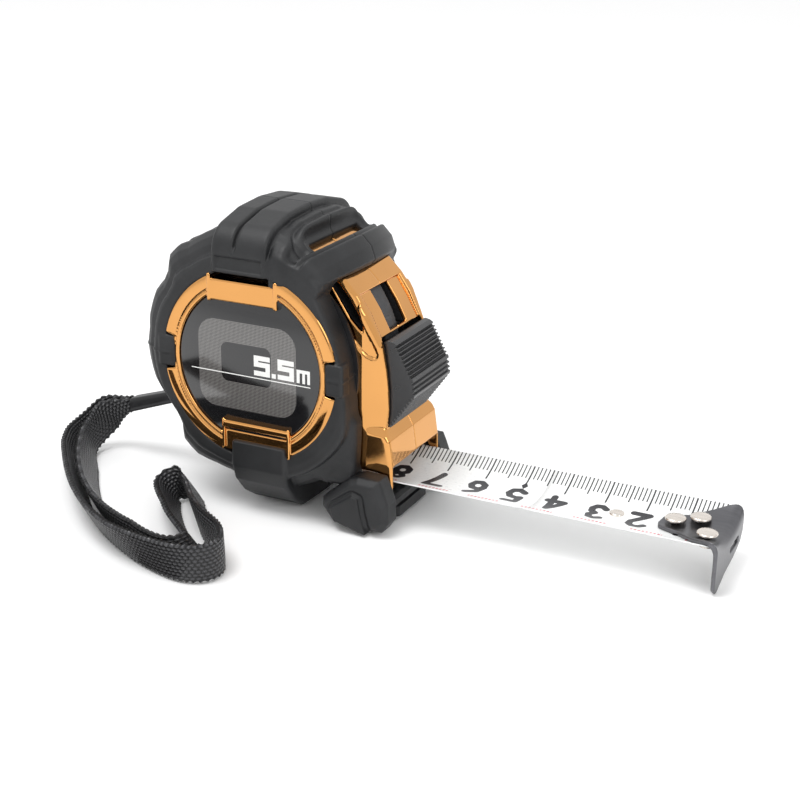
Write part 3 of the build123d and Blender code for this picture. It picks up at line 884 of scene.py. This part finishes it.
def blade_enamel():
    """White enamel with the scale printed on its hollow face."""
    s = Surface("blade_enamel", (0.80, 0.81, 0.80), 0.28)
    x, y, _ = s.axes()
    run = x * -1.0 + SCALE_ZERO
    triangle = (abs(run - 50.0) * 1.6 + abs(y - 5.4)).below(1.3)
    ink = scale_lines(run, y).high(scale_digits(s, x, y)).high(triangle) * s.upward()
    red = ((y + 5.9) * (y + 5.9)).below(0.36) * (run / 0.9).fract().below(0.62) * (run / 13.0).fract().below(0.6)
    grain = s.noise(1.5, 3)
    paper = s.ramp(grain, (0.3, (0.81, 0.82, 0.82)), (0.7, (0.87, 0.88, 0.87)))
    printed = s.mix(red * s.upward(), paper, (0.62, 0.10, 0.14))
    s.set("Base Color", s.mix(ink, printed, (0.022, 0.022, 0.026)))
    s.set("Roughness", grain * 0.1 + 0.24)
    return s.material


def strip_mesh(x_low, x_high, steps, cut_corner=0.0):
    """The hollow strip as a closed thin sheet, with its front corners cut off."""
    across, points, faces = 24, [], []
    for r in (BLADE_R - BLADE_THICK, BLADE_R):
        for i in range(steps + 1):
            for j in range(across + 1):
                a = BLADE_HALF_ANGLE * (2 * j / across - 1)
                x = x_low + (x_high - x_low) * i / steps
                x = x - cut_corner * max(0, abs(2 * j / across - 1) - 0.85) / 0.15 * (i == steps)
                points.append((x, r * math.sin(a), BLADE_ARC_Z - r * math.cos(a)))
    row, size = across + 1, (steps + 1) * (across + 1)
    for i in range(steps):
        for j in range(across):
            a = i * row + j
            faces.append((a, a + row, a + row + 1, a + 1))
            faces.append(tuple(size + v for v in (a + 1, a + row + 1, a + row, a)))
    rim = list(range(row)) + [i * row + across for i in range(1, steps + 1)]
    rim += [steps * row + j for j in range(across - 1, -1, -1)] + [i * row for i in range(steps - 1, 0, -1)]
    for a, b in zip(rim, rim[1:] + rim[:1]):
        faces.append((a, b, b + size, a + size))
    return points, faces


ENAMEL = blade_enamel()
points, faces = strip_mesh(BLADE_SPLIT, SCALE_ZERO - 1, 20, 1.5)
make_object("blade_front_look", points, faces, ENAMEL, "blade", ["blade_front"])
points, faces = strip_mesh(-5.0, BLADE_SPLIT, 40)
blade_rear = make_object("blade_rear_look", points, faces, ENAMEL, "blade", ["blade_rear"])
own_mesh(blade_rear)


# ---------------------------------------------------------------- hook

def steel(name, colour, roughness):
    s = Surface(name, colour, roughness, 1.0)
    grain = s.noise(1.2, 3, stretch=(0.15, 1, 1))
    s.set("Base Color", s.ramp(grain, (0.3, tuple(c * 0.85 for c in colour)), (0.7, colour)))
    s.set("Roughness", grain * 0.14 + (roughness - 0.06))
    s.bump(s.noise(2.0, 2), 0.008)
    return s.material


DARK_STEEL = steel("dark_steel", (0.15, 0.15, 0.16), 0.32)
NICKEL = steel("nickel", (0.80, 0.74, 0.68), 0.24)
dress(("case_screws", "centre_post", "power_spring", "detent_spring", "strap_pin"), DARK_STEEL)
TONGUE = [(94.1, 0.2), (94.5, 3.0), (96.6, 4.6), (99.5, 5.4), (104.0, 8.4), (107.4, 10.6), (109.6, 11.4),
          (112, 11.4), (112, -11.4), (109.6, -11.4), (107.0, -10.4), (103.6, -7.2), (99.6, -3.6), (96.6, -2.4),
          (94.6, -1.4)]
CLAW = [(-11.4, 20), (-11.4, 1.4), (-9.8, 0.1), (-8.4, 0.3), (-3, 2.0), (4.0, 2.9), (9.5, 4.4), (11.2, 6.6),
        (11.4, 9), (11.4, 20)]


def hook(x, y, z):
    """One bent sheet: a tongue that follows the blade's hollow, and the upright claw with its eye."""
    under = (BLADE_R - 0.75) - np.hypot(y, z - BLADE_ARC_Z)
    sheet = np.abs(smooth_max(x - HOOK_X, under, 2.6)) - 0.45
    body = smooth_max(sheet, outline(x, y, TONGUE) - 0.1, 0.25)
    body = smooth_max(body, outline(y, z, CLAW) - 0.1, 0.25)
    eye = corner(np.abs(y - 3.9) - 2.8, np.abs(z - 6.0) - 0.01) - 0.85
    return smooth_max(body, -np.maximum(eye, 109 - x), 0.2)


moulded("end_hook_look", hook, (93, -12.5, -1), (112, 12.5, 16), DARK_STEEL, "hook", ["end_hook"],
        CELL * 0.7)
RIVETS = ((97.6, 1.6, 10.2), (102.7, 4.1, 10.5), (106.2, -3.2, 10.4))


def turned_row(name, profile, replaces):
    """The same turned shape at each rivet; profile gives it from the height of the rivet's head."""
    points, faces = [], []
    for x, y, z in RIVETS:
        p, f = lathe(profile(z), (x, y))
        faces += [tuple(i + len(points) for i in face) for face in f]
        points += p
    make_object(name, points, faces, NICKEL, "blade", [replaces])


def rivet_head(z):
    return [(0.6, 8.0), (1.0, 8.0), (1.0, z), (2.1, z), (2.4, z + 0.2), (2.42, z + 0.5), (2.2, z + 0.75),
            (1.6, z + 0.85), (0.3, z + 0.88)]


def rivet_tail(_):
    return [(0.3, 7.5), (1.2, 7.55), (1.7, 7.8), (1.7, 8.1), (1.2, 8.3), (0.6, 8.3)]


turned_row("hook_rivets_look", rivet_head, "hook_rivets")
turned_row("rivet_tails", rivet_tail, "rivet_plate")
points, faces = lathe([(0.9, 8.2), (1.5, 8.2), (1.75, 8.6), (1.7, 8.95), (1.3, 9.0), (0.9, 8.85)], (83.8, 1.9))
make_object("blade_eyelet_look", points, faces, NICKEL, "blade", ["blade_eyelet"])


# ---------------------------------------------------------------- wrist strap

STRAP_ROUTE = [
    (-48.3, 0.85, 12.8), (-54.0, 0.9, 10.8), (-59.0, -2.6, 7.4), (-60.0, -9.6, 5.0), (-55.4, -17.4, 4.7),
    (-49.0, -25.2, 4.7), (-42.0, -33.2, 4.7), (-34.0, -41.2, 4.7), (-24.6, -48.6, 4.7), (-14.4, -54.2, 4.7),
    (-4.0, -57.6, 4.7), (4.6, -58.8, 4.7), (10.4, -56.2, 4.7), (10.8, -50.0, 4.7), (6.2, -44.8, 4.7),
    (0.4, -40.8, 4.7), (-5.4, -35.8, 4.7), (-9.0, -31.0, 4.7), (-12.2, -26.6, 4.7), (-15.2, -22.6, 4.7),
    (-19.4, -21.6, 4.7), (-21.0, -25.2, 4.7), (-17.4, -30.4, 4.7), (-12.4, -36.0, 4.7), (-6.8, -41.8, 4.7),
    (-0.2, -46.6, 4.7), (4.4, -50.8, 4.7), (2.0, -54.4, 4.7), (-4.8, -54.2, 4.7), (-14.0, -51.0, 4.7),
    (-24.2, -45.4, 4.7), (-34.2, -37.2, 4.7), (-43.2, -27.4, 4.7), (-50.6, -17.4, 4.7), (-56.4, -9.2, 5.0),
    (-56.0, -3.8, 7.4), (-53.4, -1.2, 10.8), (-48.3, -0.85, 12.8)]
# how far the upright band leans to the case's left and front, along the route from 0 to 1
STRAP_LEAN = [(0, 0.0), (0.04, 0.1), (0.10, 0.55), (0.28, 0.55), (0.36, 0.1), (0.42, 0.0), (0.47, 0.25),
              (0.55, 0.8), (0.60, 0.6), (0.68, 0.7), (0.73, 0.3), (0.80, 0.5), (0.90, 0.6), (0.96, 0.15), (1, 0.0)]
LEAN_TO = np.array([-0.8, -0.6, 0])
STRAP_WIDTH, STRAP_THICK = 9.0, 1.5


def strap_line():
    """Points along the smooth route, in millimetres."""
    curve = bpy.data.curves.new("strap_route", "CURVE")
    curve.dimensions, curve.resolution_u = "3D", 10
    spline = curve.splines.new("NURBS")
    spline.points.add(len(STRAP_ROUTE) - 1)
    for point, (x, y, z) in zip(spline.points, STRAP_ROUTE):
        point.co = (x * MM, y * MM, z * MM, 1)
    spline.order_u, spline.use_endpoint_u = 3, True
    obj = bpy.data.objects.new("strap_route", curve)
    bpy.context.scene.collection.objects.link(obj)
    mesh = bpy.data.meshes.new_from_object(obj.evaluated_get(bpy.context.evaluated_depsgraph_get()))
    line = np.array([v.co for v in mesh.vertices]) / MM
    bpy.data.objects.remove(obj)
    return line


def webbing():
    """Shiny black braid: plump stitches in rows that lean to and fro, and a corded edge; the base colour is
    lighter on each stitch's crown, a painted highlight, and darker between stitches, painted shade.
    """
    s = Surface("webbing", (0.008, 0.008, 0.009), 0.42, Specular_IOR_Level=0.5)
    u, v, _ = s.axes(s.uv)
    row = (v / 0.85).fract() - 0.5
    shift = (v / 1.7).fract().above(0.5) * 0.5
    along = (u / 1.2 + shift).fract() - 0.5
    stitch_bulge_and_sheen = (((row * 2.0) * (row * 2.0) + (along * 2.0) * (along * 2.0)) * -0.8 + 1.0).clamp()
    # Base colour: lighter on each stitch's crown is a painted highlight, and near black between stitches is
    # painted shade.
    s.set("Base Color", s.ramp(stitch_bulge_and_sheen * 0.8 + s.noise(1.5, 2) * 0.3, (0.15, (0.0015, 0.0015, 0.002)),
                               (1.0, (0.050, 0.050, 0.055))))
    s.set("Roughness", stitch_bulge_and_sheen * -0.25 + 0.55)
    s.bump(stitch_bulge_and_sheen, 0.45)
    return s.material


def strap_frame():
    """Run and path of the strap's middle, the directions across it, and its half width, all along it."""
    line = strap_line()
    step = np.linalg.norm(np.diff(line, axis=0), axis=1)
    run = np.concatenate([[0], np.cumsum(step)])
    even = np.linspace(0, run[-1], int(run[-1] / 0.5))
    path = np.stack([np.interp(even, run, line[:, i]) for i in range(3)], 1)
    tangent = np.gradient(path, axis=0)
    tangent /= np.linalg.norm(tangent, axis=1)[:, None]
    tall = np.array([0, 0, 1.0]) + np.interp(even / even[-1], *zip(*STRAP_LEAN))[:, None] * LEAN_TO
    tall -= tangent * (tall * tangent).sum(1)[:, None]
    tall /= np.linalg.norm(tall, axis=1)[:, None]
    near_end = np.minimum(even, even[-1] - even)
    wide = (STRAP_WIDTH / 2 - 0.1) * (0.42 + 0.58 * fade(near_end, 0.5, 9))
    lying = fade(near_end, 7, 26)
    path[:, 2] -= lying * (path[:, 2] - 0.35 - wide * tall[:, 2])
    return even, path, np.cross(tangent, tall), tall, wide


def strap():
    """A flat woven band with scalloped edges, swept along the route on its edge."""
    even, path, side, tall, wide = strap_frame()
    points, faces, uvs, n = [], [], [], 28
    for i, p in enumerate(path):
        scallop = math.sin(2 * math.pi * even[i] / 1.5)
        for k in range(n):
            c, q = math.cos(2 * math.pi * k / n), math.sin(2 * math.pi * k / n)
            edge = scallop * (abs(q) > 0.8)
            a = math.copysign(abs(c) ** 0.3, c) * STRAP_THICK / 2 * (1 + 0.25 * edge)
            b = math.copysign(abs(q) ** 0.6, q) * wide[i]
            points.append(p + side[i] * a + tall[i] * (b + 0.22 * edge * q))
            uvs.append((even[i], b + (20 if a > 0 else 0)))
    for i in range(len(path) - 1):
        for k in range(n):
            a, b = i * n + k, i * n + (k + 1) % n
            faces.append((a, b, b + n, a + n))
    faces += [tuple(range(n))[::-1], tuple(range(len(points) - n, len(points)))]
    obj = make_object("strap_webbing_look", points, faces, webbing(), "case", ["strap_webbing"])
    layer = obj.data.uv_layers.new(name="UVMap")
    for loop in obj.data.loops:
        layer.data[loop.index].uv = uvs[loop.vertex_index]
    path[0] * MM
    [list(p * MM) for p in path]


strap()


# ---------------------------------------------------------------- stage

def studio_floor():
    floor = bpy.data.meshes.new("floor")
    floor.from_pydata([(-3, -3, 0), (3, -3, 0), (3, 3, 0), (-3, 3, 0)], [], [(0, 1, 2, 3)])
    obj = bpy.data.objects.new("floor", floor)
    bpy.context.scene.collection.objects.link(obj)
    floor.materials.append(Surface("floor_white", (0.93, 0.93, 0.93), 0.6).material)
    obj.location.z = -0.0002


def studio_world():
    """White all round, brighter overhead."""
    world = bpy.data.worlds.new("studio")
    bpy.context.scene.world = world
    world.use_nodes = True
    tree = world.node_tree
    where, split, ramp = (tree.nodes.new("ShaderNode" + kind) for kind in ("TexCoord", "SeparateXYZ", "ValToRGB"))
    tree.links.new(where.outputs["Generated"], split.inputs[0])
    tree.links.new(split.outputs[2], ramp.inputs[0])
    tree.links.new(ramp.outputs[0], tree.nodes["Background"].inputs["Color"])
    elements = ramp.color_ramp.elements
    for element, (position, level) in zip((elements[0], elements[1], elements.new(0.5)),
                                          ((0.0, 1.0), (0.95, 1.7), (0.45, 1.02))):
        element.position, element.color = position, (level, level, level, 1)


def card(name, corners):
    """Dark card that only shows in reflections, as a photographer's flag does."""
    mesh = bpy.data.meshes.new(name)
    mesh.from_pydata(corners, [], [(0, 1, 2, 3)])
    flag = bpy.data.objects.new(name, mesh)
    mesh.materials.append(Surface(name, (0.03, 0.02, 0.015), 0.9).material)
    flag.visible_camera = flag.visible_diffuse = flag.visible_shadow = flag.visible_transmission = False
    bpy.context.scene.collection.objects.link(flag)


def area(name, place, aim, size, power):
    light = bpy.data.lights.new(name, "AREA")
    light.shape, light.size, light.energy = "DISK", size, power
    lamp = bpy.data.objects.new(name, light)
    lamp.location = place
    lamp.rotation_euler = (Vector(aim) - Vector(place)).to_track_quat("-Z", "Y").to_euler()
    bpy.context.scene.collection.objects.link(lamp)


def camera():
    """A long lens, a little above the tape and to its right."""
    azimuth, elevation, roll = (math.radians(a) for a in (25.9, 20.6, 0.7))
    right = Vector((math.cos(azimuth), math.sin(azimuth), 0))
    back = Vector((math.sin(azimuth) * math.cos(elevation), -math.cos(azimuth) * math.cos(elevation),
                   math.sin(elevation)))
    up = back.cross(right)
    x_axis = right * math.cos(roll) + up * math.sin(roll)
    y_axis = up * math.cos(roll) - right * math.sin(roll)
    data = bpy.data.cameras.new("camera")
    data.lens, data.sensor_width, data.clip_start = 69.75, 36.0, 0.01
    obj = bpy.data.objects.new("camera", data)
    place = Vector((0.0293, 0, 0.0274)) + back * 0.3682
    obj.matrix_world = Matrix.Translation(place) @ Matrix((x_axis, y_axis, back)).transposed().to_4x4()
    bpy.context.scene.collection.objects.link(obj)
    bpy.context.scene.camera = obj


studio_floor()
studio_world()
area("key", (-0.15, -0.2, 0.75), (0.02, 0, 0.03), 0.4, 3.2)
area("fill", (0.7, -0.35, 0.45), (0.02, 0, 0.03), 0.4, 1.2)
card("card_front", [(0.05, -0.42, 0.03), (0.22, -0.42, 0.03), (0.22, -0.42, 0.10), (0.05, -0.42, 0.10)])
card("card_low", [(-0.10, -0.090, 0.001), (0.005, -0.080, 0.001), (0.005, -0.056, 0.001), (-0.10, -0.056, 0.001)])
card("card_side", [(0.45, 0.25, 0.0), (0.55, -0.05, 0.0), (0.55, -0.05, 0.12), (0.45, 0.25, 0.12)])
camera()
bpy.context.scene.view_settings.view_transform = "Standard"
